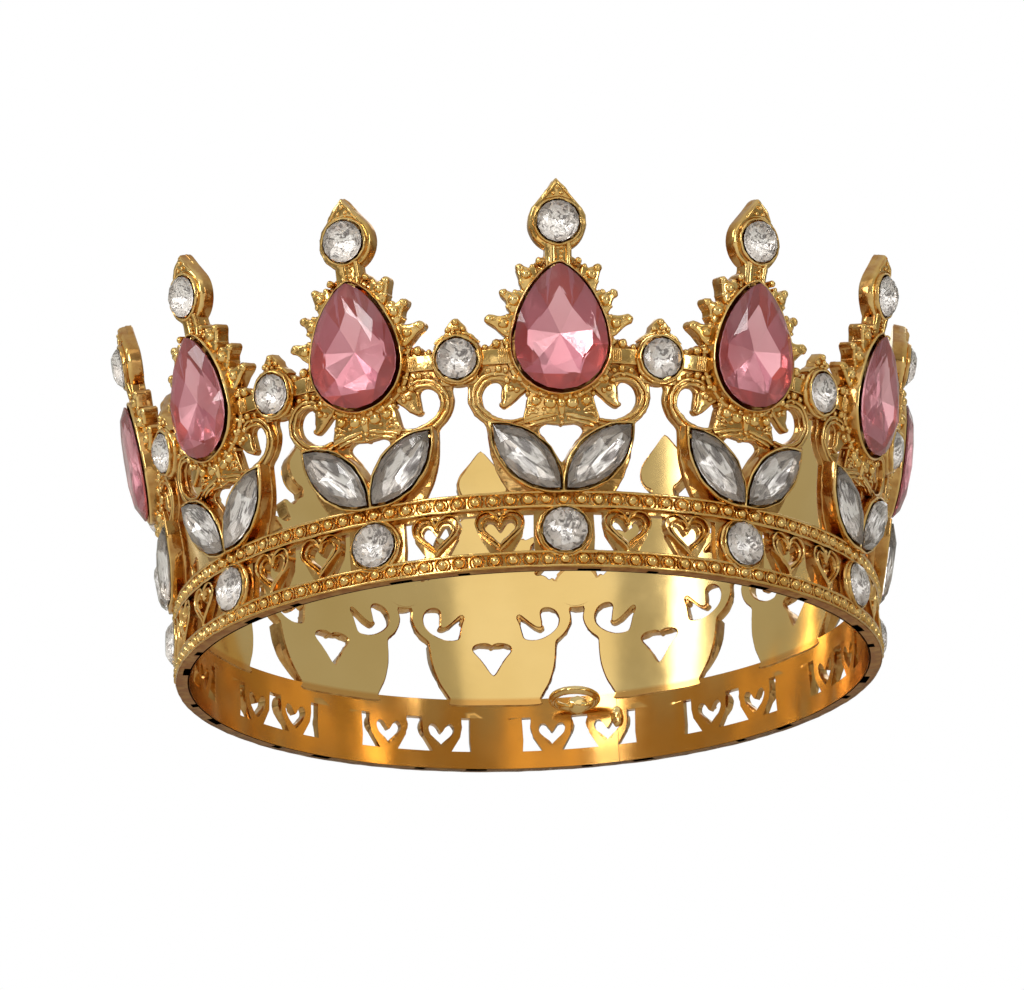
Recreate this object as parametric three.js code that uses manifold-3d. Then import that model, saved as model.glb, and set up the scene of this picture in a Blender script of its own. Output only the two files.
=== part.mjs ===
// A ring crown of twelve equal panels. Units are millimetres, +Z is up, the crown stands on z = 0.
// Panel 1 faces -Y. Crest parts are drawn flat in panel millimetres: x along the ring, h up the slope
// and d outwards from the smooth inner face. Each small part is then turned flat into its place on
// the ring, and neighbours overlap where they are cast as one.
import * as THREE from 'three';
import { mergeVertices } from 'three/addons/utils/BufferGeometryUtils.js';
import manifoldLibrary from 'manifold-3d';

const library = await manifoldLibrary();
library.setup();

// Driving dimensions
const PANELS = 12;
const PANEL_ANGLE = (2 * Math.PI) / PANELS;
const INNER_RADIUS = 70.5;
const BAND_HEIGHT = 15.8;
const FLARE = THREE.MathUtils.degToRad(9.8);
const DRAWN_RADIUS_DEPTH = 3;
const TOUCH_GAP = 0.3;

// Band
const RAIL_HEIGHT = 3.5;
const RAIL_DEPTH = 2.9;
const WEB_DEPTH = 2;
const BAND_MIDDLE = 7.6;
const BAND_RADIUS = INNER_RADIUS + WEB_DEPTH;
const BAND_PITCH = BAND_RADIUS * PANEL_ANGLE;
const RING_STEP = PANEL_ANGLE / 3;
const HEART_OFFSET = BAND_PITCH / 3;
const BAND_SEAT = { radius: 5.7, shoulder: 2.5, rim: 5, rimDepth: 3.2, table: 2.4, tableDepth: 4.9 };

// Crest, all in panel millimetres: [x, h]
const FIELD_DEPTH = 3.6;
const WING_DEPTH = 3.1;
const PLATE_DEPTH = 2.4;
const SCROLL = { centre: [12.6, 18.9], radius: 4.6, width: 2.2, back: 0.6, front: 2.9, from: -1.9, to: 1.15 };
const STRAP = { low: 26.3, high: 29.7, inner: 11, outer: 17, back: 0.5, front: 2.9 };
const PEAR = { low: 20.1, widest: 29.1, high: 45.2, halfWidth: 9.25, rim: 0.8 };
const PEAR_DEPTHS = { floor: 1.4, girdle: 5.0, table: 6.7, rim: 4.4 };
const TIP = { centre: 53.9, radius: 5.9, apex: 9.2, stoneRadius: 4.0 };
const TIP_DEPTHS = { floor: 1.2, girdle: 4.6, table: 5.8, rim: 4.1 };
const NECK = { halfWidth: 3.2, low: 44, high: 50, back: 0.4, front: 4 };
const LINK = { centre: 27.4, radius: 4.85, rimDepth: 3.7, table: 2.4, tableDepth: 5.1 };
const LEAF = { centre: [7.05, 7.05], length: 18.2, width: 8.2, rim: 0.9 };
const LEAF_DEPTHS = { floor: 1.2, girdle: 4.3, table: 5.5, rim: 3.9 };

// Casting joints. The band of section 1 starts at the closing seam, the other joints lie midway
// between two panels.
const SECTIONS = 4;
const PANELS_PER_SECTION = PANELS / SECTIONS;
const FIRST_PANEL = 6;
const CLOSING_SEAM = THREE.MathUtils.degToRad(158);

// Hairpin loop, soldered to the inside of the band
const LOOP = { angle: THREE.MathUtils.degToRad(165), radius: 4.8, wire: 0.9, at: 64.4, height: 13.4 };
const LOOP_TILT = THREE.MathUtils.degToRad(8.5);
const LOOP_SOLDER = { at: 68.7, halfSize: [2.4, 1.5, 2.1] };
const SEAM_SOLDER = { at: 69.4, height: 10.4, halfSize: [1.3, 0.8, 2.4] };

const GOLD = { color: 0xd9a441, roughness: 0.22, metalness: 1 };
const PINK_GLASS = { color: 0xc8788c, roughness: 0.08, metalness: 0 };
const CLEAR_GLASS = { color: 0xe6e6ea, roughness: 0.06, metalness: 0 };

// Solids and booleans
function toSolid(geometry) {
  const bare = new THREE.BufferGeometry();
  bare.setAttribute('position', geometry.getAttribute('position').clone());
  if (geometry.index) bare.setIndex(geometry.index.clone());
  const merged = mergeVertices(bare, 1e-5);
  const mesh = new library.Mesh({
    numProp: 3,
    vertProperties: Float32Array.from(merged.getAttribute('position').array),
    triVerts: Uint32Array.from(merged.index.array),
  });
  mesh.merge();
  return new library.Manifold(mesh);
}

function toGeometry(solid) {
  const mesh = solid.getMesh();
  const geometry = new THREE.BufferGeometry();
  geometry.setAttribute('position', new THREE.BufferAttribute(mesh.vertProperties, 3));
  geometry.setIndex(new THREE.BufferAttribute(mesh.triVerts, 1));
  const faceted = geometry.toNonIndexed();
  faceted.computeVertexNormals();
  return faceted;
}

function join(geometries) {
  return geometries.map(toSolid).reduce((whole, next) => whole.add(next));
}

// Flat drawing
function toShape(points) {
  return new THREE.Shape(points.map(([x, y]) => new THREE.Vector2(x, y)));
}

function slab(points, back, front) {
  const options = { depth: front - back, bevelEnabled: false };
  return new THREE.ExtrudeGeometry(toShape(points), options).translate(0, 0, back);
}

function mirrored(rightHalf) {
  const leftHalf = rightHalf.filter(([x]) => x > 0.01).map(([x, y]) => [-x, y]).reverse();
  return [...rightHalf, ...leftHalf];
}

function flipped(points) {
  return points.map(([x, y]) => [-x, y]).reverse();
}

function arc(radius, from, to, steps, [cx, cy] = [0, 0]) {
  return Array.from({ length: steps + 1 }, (_, i) => {
    const angle = from + ((to - from) * i) / steps;
    return [cx + radius * Math.cos(angle), cy + radius * Math.sin(angle)];
  });
}

function circle(radius, steps, centre) {
  return arc(radius, 0, 2 * Math.PI, steps, centre).slice(0, steps);
}

// Placing
function onRing(radius, angle, height) {
  return [radius * Math.sin(angle), -radius * Math.cos(angle), height];
}

function onSlope(angle, h, d) {
  const radius = INNER_RADIUS + h * Math.sin(FLARE) + d * Math.cos(FLARE);
  const height = BAND_HEIGHT + h * Math.cos(FLARE) - d * Math.sin(FLARE);
  return onRing(radius, angle, height);
}

function onWall(angle, h, d) {
  return onRing(INNER_RADIUS + d, angle, h);
}

// The radius at which a crest part of height h has the width it is drawn with
function drawnRadius(h) {
  return INNER_RADIUS + h * Math.sin(FLARE) + DRAWN_RADIUS_DEPTH * Math.cos(FLARE);
}

function settle(geometry, angle, h, onSurface = onSlope) {
  const origin = new THREE.Vector3(...onSurface(angle, h, 0));
  const out = new THREE.Vector3(...onSurface(angle, h, 1)).sub(origin);
  const along = new THREE.Vector3(Math.cos(angle), Math.sin(angle), 0);
  const up = new THREE.Vector3().crossVectors(out, along);
  return geometry.applyMatrix4(new THREE.Matrix4().makeBasis(along, up, out).setPosition(origin));
}

// A slab drawn in panel millimetres, flat to the slope at its own centre
function crestSlab(points, [x, h], back, front) {
  return settle(slab(points, back, front).translate(-x, -h, 0), x / drawnRadius(h), h);
}

// Outlines
function pearOutline(grow = 0) {
  const width = PEAR.halfWidth + grow;
  const rise = PEAR.high - PEAR.widest + grow * 1.6;
  const lower = arc(1, -Math.PI / 2, 0, 3).map(([x, y]) => [
    x * width,
    y * (PEAR.widest - PEAR.low + grow),
  ]);
  const upper = [0.4, 0.75, 1].map((share) => [
    width * (1 - share ** 1.85) ** 0.71,
    share * rise,
  ]);
  return mirrored([...lower, ...upper]);
}

function dropOutline(radius, apex) {
  const touch = Math.acos(radius / apex);
  return mirrored([...arc(radius, -Math.PI / 2, Math.PI / 2 - touch, 4), [0, apex]]);
}

function leafOutline(grow = 0) {
  const half = LEAF.length / 2 + grow * 1.5;
  const side = LEAF.width / 2 + grow;
  const radius = (half * half + side * side) / (2 * side);
  const reach = Math.asin(half / radius);
  const rightSide = arc(radius, -reach, reach, 3, [side - radius, 0]);
  const leftSide = rightSide.slice(1, -1).map(([x, y]) => [-x, y]).reverse();
  return [...rightSide, ...leftSide];
}

// The openings of the band, drawn for the right of a panel
function heartOpening() {
  const half = [[0, 4.6], [2.7, 7.4], [1.9, 9.8], [0, 7.7]];
  return mirrored(half).map(([x, y]) => [HEART_OFFSET + x, y]);
}

function seatOpening() {
  const low = RAIL_HEIGHT + 0.1;
  return [[4.1, low], [11, low], [8.2, 7.6], [8, 11], [5.7, 11], [5.7, BAND_MIDDLE]];
}

function betweenHeartsOpening() {
  const half = [[4.8, RAIL_HEIGHT + 0.1], [2, 7.6], [1.8, 11]];
  return mirrored(half).map(([x, y]) => [BAND_PITCH / 2 + x, y]);
}

// Stones: a flat table, a slanted crown, a short girdle and a pointed back
function gem(outline, heart, depths, tableShare) {
  const table = outline.map(([x, y]) => [x * tableShare, heart + (y - heart) * tableShare]);
  const atDepth = (points, depth) => points.map(([x, y]) => [x, y, depth]);
  const lower = atDepth(outline, depths.girdle - 0.4);
  const upper = atDepth(outline, depths.girdle);
  const top = atDepth(table, depths.table);
  const culet = [0, heart, depths.floor + TOUCH_GAP];
  const positions = [];
  for (let i = 0; i < outline.length; i += 1) {
    const j = (i + 1) % outline.length;
    positions.push(culet, lower[j], lower[i]);
    positions.push(lower[i], lower[j], upper[j], lower[i], upper[j], upper[i]);
    positions.push(upper[i], upper[j], top[j], upper[i], top[j], top[i]);
    if (i > 1) positions.push(top[0], top[i - 1], top[i]);
  }
  const geometry = new THREE.BufferGeometry();
  geometry.setAttribute('position', new THREE.Float32BufferAttribute(positions.flat(), 3));
  return geometry;
}

function placePear(geometry) {
  return settle(geometry, 0, PEAR.widest);
}

function placeTip(geometry) {
  return settle(geometry, 0, TIP.centre);
}

function placeLeaf(geometry, side) {
  const [x, h] = LEAF.centre;
  return settle(geometry.rotateZ((side * -Math.PI) / 4), (side * x) / drawnRadius(h), h);
}

function placeLink(geometry) {
  return settle(geometry, PANEL_ANGLE / 2, LINK.centre);
}

function pearStone() {
  return placePear(gem(pearOutline(), 2, PEAR_DEPTHS, 0.62));
}

function tipStone() {
  return placeTip(gem(circle(TIP.stoneRadius, 8), 0, TIP_DEPTHS, 0.55));
}

function leafStone(side) {
  return placeLeaf(gem(leafOutline(), 0, LEAF_DEPTHS, 0.6), side);
}

// Crest parts. A side part is drawn for the right (side 1) and flipped for the left (side -1).
function sidePart(points, [x, h], back, front, side) {
  return crestSlab(side > 0 ? points : flipped(points), [side * x, h], back, front);
}

function centrePlate() {
  const half = [[0, -1.2], [9.6, -1.2], [9.6, 13.4], [7.4, 14.8], [6.4, 22], [0, 22]];
  return crestSlab(mirrored(half), [0, 10], 0.2, PLATE_DEPTH);
}

function rayField() {
  const half = [[0, 17.4], [6, 20.5], [9.8, 19.5], [9.8, 37.2], [11.2, 41.6], [7, 41.8], [7.6, 46], [0, 46.4]];
  return crestSlab(mirrored(half), [0, 31], 0.2, FIELD_DEPTH);
}

function wing(side) {
  const points = [[8.5, 20.2], [11.8, 17.9], [11.7, 22], [16.4, 23], [15.9, 31], [11.5, 31.8], [14, 36.2],
    [8.5, 37]];
  return sidePart(points, [12, 28], 0.4, WING_DEPTH, side);
}

function neck() {
  const { halfWidth, low, high, back, front } = NECK;
  return crestSlab([[-halfWidth, low], [halfWidth, low], [halfWidth, high], [-halfWidth, high]], [0, low],
    back, front);
}

function strap(side) {
  const { inner, outer, low, high, back, front } = STRAP;
  const points = [[inner, low], [outer, low], [outer, high], [inner, high]];
  return sidePart(points, [outer, LINK.centre], back, front, side);
}

function scroll(side) {
  const { centre, radius, width, back, front, from, to } = SCROLL;
  const outer = arc(radius + width / 2, from, to, 4, centre);
  const inner = arc(radius - width / 2, from, to, 4, centre).reverse();
  return sidePart([...outer, ...inner], centre, back, front, side);
}

function kiteHole() {
  return crestSlab(mirrored([[0, 6.2], [4.5, 12.2], [2.2, 13.6], [0, 13.1]]), [0, 10], -1, 9);
}

// A round boss with its stone, as one turned shape
function boss(profile, steps) {
  const points = profile.map(([radius, depth]) => new THREE.Vector2(radius, depth));
  return new THREE.LatheGeometry(points, steps).rotateX(Math.PI / 2);
}

function linkSetting() {
  const { radius, rimDepth, table, tableDepth } = LINK;
  const round = boss([[0, 0], [radius, 0], [radius, rimDepth], [table, tableDepth], [0, tableDepth]], 8);
  const peak = slab(mirrored([[0, 0], [4.4, 1.6], [2.2, 5.2], [1.9, 6.6], [0.5, 7.7], [0, 7.7]]), 0.4, 3.4);
  return join([round, peak].map(placeLink));
}

function linkClearance() {
  return toSolid(placeLink(slab(circle(LINK.radius + TOUCH_GAP, 12), -TOUCH_GAP, LINK.rimDepth + TOUCH_GAP)));
}

function crestPanel() {
  const sides = [-1, 1];
  const cast = join([
    centrePlate(),
    rayField(),
    neck(),
    ...sides.flatMap((side) => [wing(side), strap(side), scroll(side)]),
    placePear(slab(pearOutline(PEAR.rim + TOUCH_GAP), 0.6, PEAR_DEPTHS.rim)),
    placeTip(slab(dropOutline(TIP.radius, TIP.apex), 0, TIP_DEPTHS.rim)),
    ...sides.map((side) => placeLeaf(slab(leafOutline(LEAF.rim + TOUCH_GAP), 0, LEAF_DEPTHS.rim), side)),
  ]);
  const pockets = join([
    kiteHole(),
    placePear(slab(pearOutline(TOUCH_GAP), PEAR_DEPTHS.floor, 9)),
    placeTip(slab(circle(TIP.stoneRadius + TOUCH_GAP, 8), TIP_DEPTHS.floor, 9)),
    ...sides.map((side) => placeLeaf(slab(leafOutline(TOUCH_GAP), LEAF_DEPTHS.floor, 9), side)),
  ]);
  return cast.subtract(pockets).add(linkSetting());
}

// A ring of metal from one angle to another. Its facets meet in the middle of the openings.
function ringStretch([from, to], depth, low, high) {
  const firstFold = (Math.floor(from / RING_STEP + 0.5) + 0.5) * RING_STEP;
  const angles = [from];
  for (let fold = firstFold; fold < to - 1e-6; fold += RING_STEP) {
    if (fold > from + 1e-6) angles.push(fold);
  }
  angles.push(to);
  const rim = (radius) => angles.map((angle) => onRing(radius, angle, 0).slice(0, 2));
  return slab([...rim(INNER_RADIUS + depth), ...rim(INNER_RADIUS).reverse()], low, high);
}

function bandPart(points, [x, h], back, front, panel) {
  const flat = slab(points, back, front).translate(-x, -h, 0);
  return settle(flat, panel * PANEL_ANGLE + x / BAND_RADIUS, h, onWall);
}

function bandOpenings(side, panel) {
  const drawn = [
    [heartOpening(), [HEART_OFFSET, 8]],
    [seatOpening(), [HEART_OFFSET / 2, 8]],
    [betweenHeartsOpening(), [BAND_PITCH / 2, 8]],
  ];
  return drawn.map(([points, [x, h]]) => {
    const turnedPoints = side > 0 ? points : flipped(points);
    return bandPart(turnedPoints, [side * x, h], -1, 9, panel);
  });
}

// The band between two angles, with the settings of the panels that it carries
function bandStretch(range, panels) {
  const near = [panels[0] - 1, ...panels, panels.at(-1) + 1];
  const openings = near.flatMap((panel) => [-1, 1].flatMap((side) => bandOpenings(side, panel)));
  const metal = join([
    ringStretch(range, RAIL_DEPTH, 0, RAIL_HEIGHT),
    ringStretch(range, RAIL_DEPTH, BAND_HEIGHT - RAIL_HEIGHT, BAND_HEIGHT),
    ringStretch(range, WEB_DEPTH, 1, BAND_HEIGHT - 1),
  ]);
  return metal.subtract(join(openings)).add(join(panels.map(bandSetting)));
}

function bandSetting(panel) {
  const { radius, shoulder, rim, rimDepth, table, tableDepth } = BAND_SEAT;
  const profile = [[0, 0.5], [radius, 0.5], [radius, shoulder], [rim, rimDepth], [table, tableDepth],
    [0, tableDepth]];
  return settle(boss(profile, 8), panel * PANEL_ANGLE, BAND_MIDDLE, onWall);
}

// Casting sections
function turned(solid, angle) {
  return toSolid(toGeometry(solid).rotateZ(angle));
}

const crest = crestPanel();

// The angle of the joint before a panel
function jointBefore(panel) {
  const turns = Math.floor((panel - FIRST_PANEL) / PANELS);
  const atSeam = (panel - FIRST_PANEL) % PANELS === 0;
  return atSeam ? CLOSING_SEAM + turns * 2 * Math.PI : (panel - 0.5) * PANEL_ANGLE;
}

function sectionSolid(index) {
  const halfGap = TOUCH_GAP / 2 / INNER_RADIUS;
  const first = FIRST_PANEL + index * PANELS_PER_SECTION;
  const panels = Array.from({ length: PANELS_PER_SECTION }, (_, i) => first + i);
  const range = [jointBefore(first) + halfGap, jointBefore(first + PANELS_PER_SECTION) - halfGap];
  return panels
    .map((panel) => turned(crest, panel * PANEL_ANGLE))
    .reduce((whole, next) => whole.add(next), bandStretch(range, panels))
    .subtract(turned(linkClearance(), (first - 1) * PANEL_ANGLE));
}

// Loop and solder
function loopAt(wire) {
  return new THREE.TorusGeometry(LOOP.radius, wire, 6, 16)
    .rotateX(LOOP_TILT)
    .translate(0, -LOOP.at, LOOP.height)
    .rotateZ(LOOP.angle);
}

function lump({ at, halfSize }, angle, height) {
  return new THREE.SphereGeometry(1, 10, 6)
    .scale(...halfSize)
    .translate(0, -at, height)
    .rotateZ(angle);
}

function loopSolder() {
  const clearOfLoop = toSolid(loopAt(LOOP.wire + TOUCH_GAP));
  return toGeometry(toSolid(lump(LOOP_SOLDER, LOOP.angle, LOOP.height)).subtract(clearOfLoop));
}

// Scene
const crown = new THREE.Group();

function addNode(name, geometry, finish) {
  const mesh = new THREE.Mesh(geometry, new THREE.MeshStandardMaterial(finish));
  mesh.name = name;
  crown.add(mesh);
  return mesh;
}

for (let index = 0; index < SECTIONS; index += 1) {
  addNode(`frame_section_${index + 1}`, toGeometry(sectionSolid(index)), GOLD);
}

for (let panel = 0; panel < PANELS; panel += 1) {
  const number = String(panel + 1).padStart(2, '0');
  const angle = panel * PANEL_ANGLE;
  addNode(`pear_stone_${number}`, pearStone(), PINK_GLASS).rotation.z = angle;
  addNode(`tip_stone_${number}`, tipStone(), CLEAR_GLASS).rotation.z = angle;
  addNode(`leaf_stone_${number}_left`, leafStone(-1), CLEAR_GLASS).rotation.z = angle;
  addNode(`leaf_stone_${number}_right`, leafStone(1), CLEAR_GLASS).rotation.z = angle;
}

addNode('hairpin_loop', loopAt(LOOP.wire), GOLD);
addNode('loop_solder', loopSolder(), GOLD);
addNode('seam_solder', lump(SEAM_SOLDER, CLOSING_SEAM, SEAM_SOLDER.height), GOLD);

export default crown;
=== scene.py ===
import math
import random

import bmesh
import bpy
import numpy as np
from mathutils import Matrix, Vector, noise
from mathutils.geometry import tessellate_polygon


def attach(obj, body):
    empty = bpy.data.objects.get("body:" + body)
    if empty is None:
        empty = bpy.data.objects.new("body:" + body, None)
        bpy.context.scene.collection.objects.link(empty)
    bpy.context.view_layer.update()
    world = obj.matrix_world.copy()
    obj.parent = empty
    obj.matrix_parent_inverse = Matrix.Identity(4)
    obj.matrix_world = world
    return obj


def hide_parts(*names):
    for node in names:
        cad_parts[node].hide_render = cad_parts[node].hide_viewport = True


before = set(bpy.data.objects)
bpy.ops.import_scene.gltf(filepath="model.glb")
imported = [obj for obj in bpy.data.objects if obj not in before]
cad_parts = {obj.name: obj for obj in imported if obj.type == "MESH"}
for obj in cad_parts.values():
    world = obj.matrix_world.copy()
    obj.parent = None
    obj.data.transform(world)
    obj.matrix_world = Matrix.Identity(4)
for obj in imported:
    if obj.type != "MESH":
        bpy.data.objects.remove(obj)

# Everything is drawn in millimetres, x along the ring, h up the wall and d outwards from the smooth inner
# face, then laid on the ring and scaled to metres.
MM = 0.001
PANELS = 12
PANEL_ANGLE = 2 * math.pi / PANELS
INNER_RADIUS = 70.5
BAND_HEIGHT = 15.8
FLARE = math.radians(9.8)
BAND_RADIUS = INNER_RADIUS + 2
DRAWN_DEPTH = 3
BAND_PITCH = BAND_RADIUS * PANEL_ANGLE
BAND_MIDDLE = 7.6
RAILS = ((0, 3.5), (12.3, BAND_HEIGHT))
BEADS_PER_PANEL = 11
HEART_OFFSET = BAND_PITCH / 3

FIRST_PANEL = 6
PANELS_PER_SECTION = 3
SEAM_PANEL = 5
CLOSING_SEAM = math.radians(158)
SEAM_GAP = 0.12

PEAR_CENTRE = 29.1
PEAR_HALF_WIDTH = 9.25
PEAR_BELOW = 9.0
PEAR_ABOVE = 16.1
TIP_CENTRE = 53.9
LINK_CENTRE = 27.4
LEAF_CENTRE = 7.05
LEAF_TURN = math.radians(45)
LEAF_HALF_LENGTH = 9.1
LEAF_HALF_WIDTH = 4.1

LOOP_ANGLE = math.radians(165)
LOOP_TILT = math.radians(8.5)
LOOP_PLACE = (64.4, 13.4)
LOOP_SOLDER_PLACE = (68.8, 13.2)
SEAM_SOLDER_PLACE = (70.1, 10.2)

# The casting: its unevenness, the depths where raised parts start, and the angle of a sharp edge.
CAST_LUMPS = 0.12
CAST_PLEATS = 0.16
BACK_DEPTH, BACK_STEP, BACK_CYCLE = 0.16, 0.023, 17
SHARP_EDGE = math.radians(40)

# The corner attribute of patina and painted shade runs from 0 on the highest relief to 1 in its depths, and
# has these values too; the gold is painted browner along it, partly as patina and partly as shade.
INSIDE = -1
# painted shade on side walls
SIDE_WALL_SHADE = 0.85
# painted shade on the bottom face, the deepest
BOTTOM_FACE_SHADE = 1.2

# The camera's place in millimetres, its direction and its lens.
CAMERA_PLACE = (-116.6, -1047.9, -316.9)
CAMERA_AZIMUTH = math.radians(6.234)
CAMERA_ELEVATION = math.radians(18.69)
CAMERA_ROLL = math.radians(-2.267)
CAMERA_LENS = 186.3

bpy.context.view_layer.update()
rng = random.Random(12)
noise.seed_set(12)


# ---------------------------------------------------------------- flat outlines
def curve(points, steps=4, closed=True):
    """A smooth line through points."""
    p = np.array(points, float)
    n = len(p)
    out = []
    for i in range(n if closed else n - 1):
        around = [i + k for k in (-1, 0, 1, 2)]
        a, b, c, d = (p[k % n] if closed else p[min(max(k, 0), n - 1)] for k in around)
        for s in range(steps):
            t = s / steps
            square, cube = 2 * a - 5 * b + 4 * c - d, 3 * b - a - 3 * c + d
            out.append(0.5 * (2 * b + (c - a) * t + square * t**2 + cube * t**3))
    if not closed:
        out.append(p[-1])
    return np.array(out)


def mirrored(half):
    """A closed outline from its right half, drawn from bottom to top."""
    left = [(-x, h) for x, h in reversed(half) if x > 0.01]
    return np.array([*half, *left], float)


def counterclockwise(outline):
    """The same outline, turned round if it runs clockwise."""
    x, y = outline[:, 0], outline[:, 1]
    area = np.sum(x * np.roll(y, -1) - np.roll(x, -1) * y)
    return outline if area > 0 else outline[::-1]


def offset(outline, amount):
    """A closed outline moved outwards, with its corners kept."""
    edge = np.roll(outline, -1, axis=0) - outline
    edge /= np.maximum(np.linalg.norm(edge, axis=1, keepdims=True), 1e-9)
    normal = np.stack([edge[:, 1], -edge[:, 0]], axis=1)
    both = normal + np.roll(normal, 1, axis=0)
    length = np.maximum(np.linalg.norm(both, axis=1, keepdims=True), 1e-9)
    return outline + both / length * amount * np.minimum(2 / length, 1.7)


def circle(radius, steps=40, centre=(0, 0)):
    angle = np.linspace(0, 2 * math.pi, steps, endpoint=False)
    return np.stack([centre[0] + radius * np.cos(angle), centre[1] + radius * np.sin(angle)], axis=1)


def pear_outline(steps=26):
    """The big stone seen from the front, about its widest height."""
    turns = np.linspace(0, math.pi / 2, steps // 2)
    down = [(PEAR_HALF_WIDTH * math.sin(t), -PEAR_BELOW * math.cos(t)) for t in turns]
    shares = np.sin(np.linspace(0, math.pi / 2, steps))[1:]
    up = [(PEAR_HALF_WIDTH * (1 - t**1.85) ** 0.71, PEAR_ABOVE * t) for t in shares]
    return mirrored([*down, *up])


def drop_outline(radius, apex, steps=16):
    """A circle with a point above it."""
    turns = np.linspace(-math.pi / 2, math.pi / 2 - math.acos(radius / apex), steps)
    side = [(radius * math.cos(t), radius * math.sin(t)) for t in turns]
    return mirrored([*side, (0.35, apex - 0.3), (0, apex)])


def leaf_outline(steps=16):
    """A pointed oval, long axis upright."""
    radius = (LEAF_HALF_LENGTH**2 + LEAF_HALF_WIDTH**2) / (2 * LEAF_HALF_WIDTH)
    reach = math.asin(LEAF_HALF_LENGTH / radius)
    turns = np.linspace(-reach, reach, steps)
    right = [(radius * math.cos(t) + LEAF_HALF_WIDTH - radius, radius * math.sin(t)) for t in turns]
    return mirrored(right)


def heart_outline(width, steps=44, centre=(0, 0)):
    """A heart curve, point down."""
    t = np.linspace(0, 2 * math.pi, steps, endpoint=False)[::-1]
    x = 16 * np.sin(t) ** 3
    y = 13 * np.cos(t) - 5 * np.cos(2 * t) - 2 * np.cos(3 * t) - np.cos(4 * t)
    scale = width / 32
    return np.stack([centre[0] + x * scale, centre[1] + (y + 2.5) * scale], axis=1)


# ---------------------------------------------------------------- solid drawing
def strip(a, b, n):
    """Faces between two rings of n points that start at a and b."""
    return [(a + i, a + (i + 1) % n, b + (i + 1) % n, b + i) for i in range(n)]


def cut_at(bm, x, side=1, clear=False):
    """Cuts a flat drawing at x, and clears what lies against side if told to."""
    parts = bm.verts[:] + bm.edges[:] + bm.faces[:]
    bmesh.ops.bisect_plane(
        bm, geom=parts, dist=1e-5, plane_co=(x, 0, 0), plane_no=(side, 0, 0), clear_inner=clear
    )


def read_vectors(items, name):
    """A vector property of every item, as rows."""
    values = np.empty(len(items) * 3)
    items.foreach_get(name, values)
    return values.reshape(-1, 3)


def clamped(value):
    return min(max(value, 0), 1)


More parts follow.
